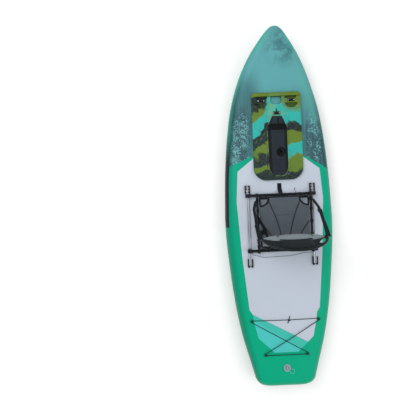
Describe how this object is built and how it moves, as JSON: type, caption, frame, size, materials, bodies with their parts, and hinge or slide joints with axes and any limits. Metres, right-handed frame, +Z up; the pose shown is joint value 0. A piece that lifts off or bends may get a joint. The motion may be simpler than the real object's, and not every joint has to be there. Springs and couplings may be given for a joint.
{
  "type": "inflatable pedal kayak",
  "caption": "Inflatable board-shaped kayak with a foam deck, a framed seat that slides on deck rails, a moulded drive pod and a plug that closes its well.",
  "frame": {"origin": "under the middle of the hull, on the plane its flat bottom rests on", "axes": "+Y to the bow, +X to starboard, +Z up"},
  "size_m": [0.988, 3.265, 0.7366],
  "materials": {
    "hull_skin": "printed coated fabric, satin",
    "pale_pad": "diamond-grooved foam, matt",
    "mint_pad": "diamond-grooved foam, matt",
    "pod_swirl": "moulded plastic with a marbled swirl",
    "rubber": "matt rubber",
    "black_plastic": "fine-grained moulded plastic",
    "black_tube": "black satin tube",
    "rail": "extruded, satin",
    "steel": "brushed",
    "seat_fabric": "woven fabric over foam, piped seams",
    "webbing": "woven webbing and mesh",
    "cord": "braided cord",
    "valve_plastic": "moulded plastic",
    "tether": "soft plastic cord"
  },
  "bodies": {
    "hull": {"hull_chamber": "hull_skin", "main_deck_pad": "pale_pad", "stern_deck_pad": "mint_pad", "drive_pod": "pod_swirl", "pod_gasket": "rubber", "pod_eye_left": "black_plastic", "pod_eye_right": "black_plastic", "pod_eye_centre": "black_plastic", "plug_seal": "rubber", "rail_left": "rail", "rail_right": "rail", "rail_stop_front_left": "black_plastic", "rail_stop_front_right": "black_plastic", "rail_stop_rear_left": "black_plastic", "rail_stop_rear_right": "black_plastic", "front_strap_patch": "webbing", "front_strap": "webbing", "bungee_anchor_front_left": "rubber", "bungee_anchor_front_right": "rubber", "bungee_anchor_rear_left": "rubber", "bungee_anchor_rear_right": "rubber", "bungee_cord": "cord", "cord_lock": "black_plastic", "valve_body": "valve_plastic", "valve_spring": "steel", "valve_tether": "tether"},
    "seat_base": {"front_bar": "black_tube", "rear_bar": "black_tube", "slider_front_left": "black_plastic", "slider_front_right": "black_plastic", "slider_rear_left": "black_plastic", "slider_rear_right": "black_plastic", "frame_clamp_front_left": "black_plastic", "frame_clamp_front_right": "black_plastic", "frame_clamp_rear_left": "black_plastic", "frame_clamp_rear_right": "black_plastic", "seat_tube_left": "black_tube", "seat_tube_right": "black_tube", "seat_base_panel": "seat_fabric", "hinge_bracket_left": "black_plastic", "hinge_bracket_right": "black_plastic", "hinge_pin_left": "steel", "hinge_pin_right": "steel", "release_cord": "cord", "side_strap_left": "webbing", "side_strap_right": "webbing", "strap_buckle_left": "black_plastic", "strap_buckle_right": "black_plastic"},
    "backrest": {"backrest_frame": "black_tube", "backrest_panel": "seat_fabric", "backrest_sleeve": "webbing"},
    "plug": {"well_plug": "black_plastic"},
    "cap": {"valve_cap": "valve_plastic"},
    "stem": {"valve_stem": "valve_plastic"},
    "pin_left": {"lock_pin_left": "steel"},
    "pin_right": {"lock_pin_right": "steel"}
  },
  "joints": [
    {"name": "seat_slide", "type": "slide", "parent": "hull", "child": "seat_base", "axis": [0, 1, 0], "range_m": [-0.055, 0]},
    {"name": "backrest_recline", "type": "hinge", "parent": "seat_base", "child": "backrest", "pos_m": [0.023, -0.271, 0.3024], "axis": [1, 0, 0], "range_deg": [-62, 50]},
    {"name": "plug_lift", "type": "slide", "parent": "hull", "child": "plug", "axis": [0, 0, 1], "range_m": [0, 0.25]},
    {"name": "valve_cap_turn", "type": "hinge", "parent": "hull", "child": "cap", "pos_m": [0, -1.437, 0.2], "axis": [0, 0, 1], "range_deg": [0, 90]},
    {"name": "valve_push", "type": "slide", "parent": "hull", "child": "stem", "axis": [0, 0, -1], "range_m": [0, 0.005], "stiffness_N_per_m": 300, "springref_m": -0.004, "deforming": ["valve_spring"]},
    {"name": "pin_left_lift", "type": "slide", "parent": "seat_base", "child": "pin_left", "axis": [0, 0, 1], "range_m": [0, 0.007], "stiffness_N_per_m": 200, "springref_m": -0.004},
    {"name": "pin_right_lift", "type": "slide", "parent": "seat_base", "child": "pin_right", "axis": [0, 0, 1], "range_m": [0, 0.007], "stiffness_N_per_m": 200, "springref_m": -0.004}
  ]
}
